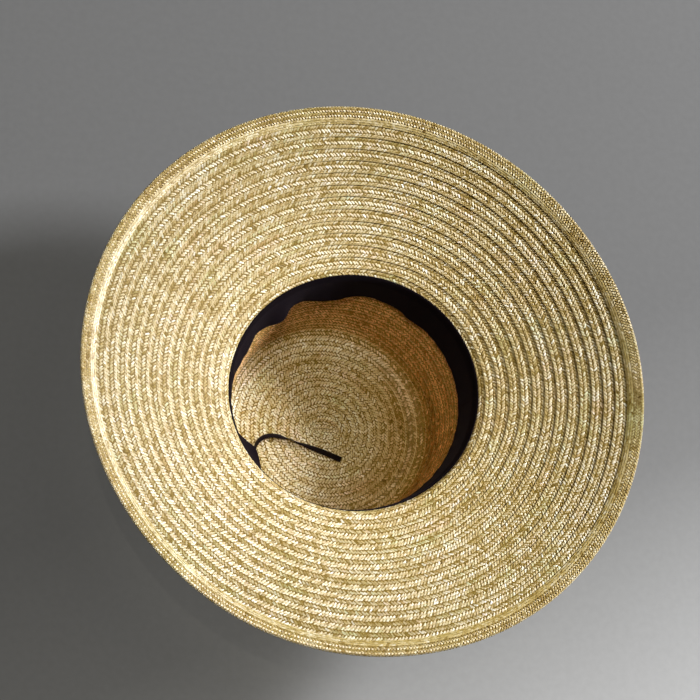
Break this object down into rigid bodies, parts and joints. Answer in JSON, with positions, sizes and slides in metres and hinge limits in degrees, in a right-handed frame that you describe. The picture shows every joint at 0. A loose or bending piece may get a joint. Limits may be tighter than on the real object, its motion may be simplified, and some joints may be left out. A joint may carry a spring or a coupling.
{
  "type": "straw hat",
  "caption": "Wide-brimmed sewn straw hat with a flat-topped hollow crown, doubled brim edge, black inner sweatband and a ribbon end.",
  "frame": {"origin": "centre of the outer flat face of the crown's tip, on the surface that the hat lies on", "axes": "+Z from the tip to the open mouth, +X and +Y across the mouth; the picture looks from -X, -Y and +Z"},
  "size_m": [0.42, 0.42, 0.1464],
  "materials": {
    "straw": "plaited wheat straw braid in sewn rows, satin sheen",
    "edge_straw": "doubled plaited straw braid, a little darker and redder",
    "band_cloth": "black ribbed cloth band, matt",
    "ribbon_cloth": "black woven ribbon, soft satin"
  },
  "bodies": {
    "root": {"crown": "straw", "brim": "straw", "edge_braid": "edge_straw", "sweatband": "band_cloth", "adjusting_ribbon": "ribbon_cloth"}
  },
  "joints": []
}
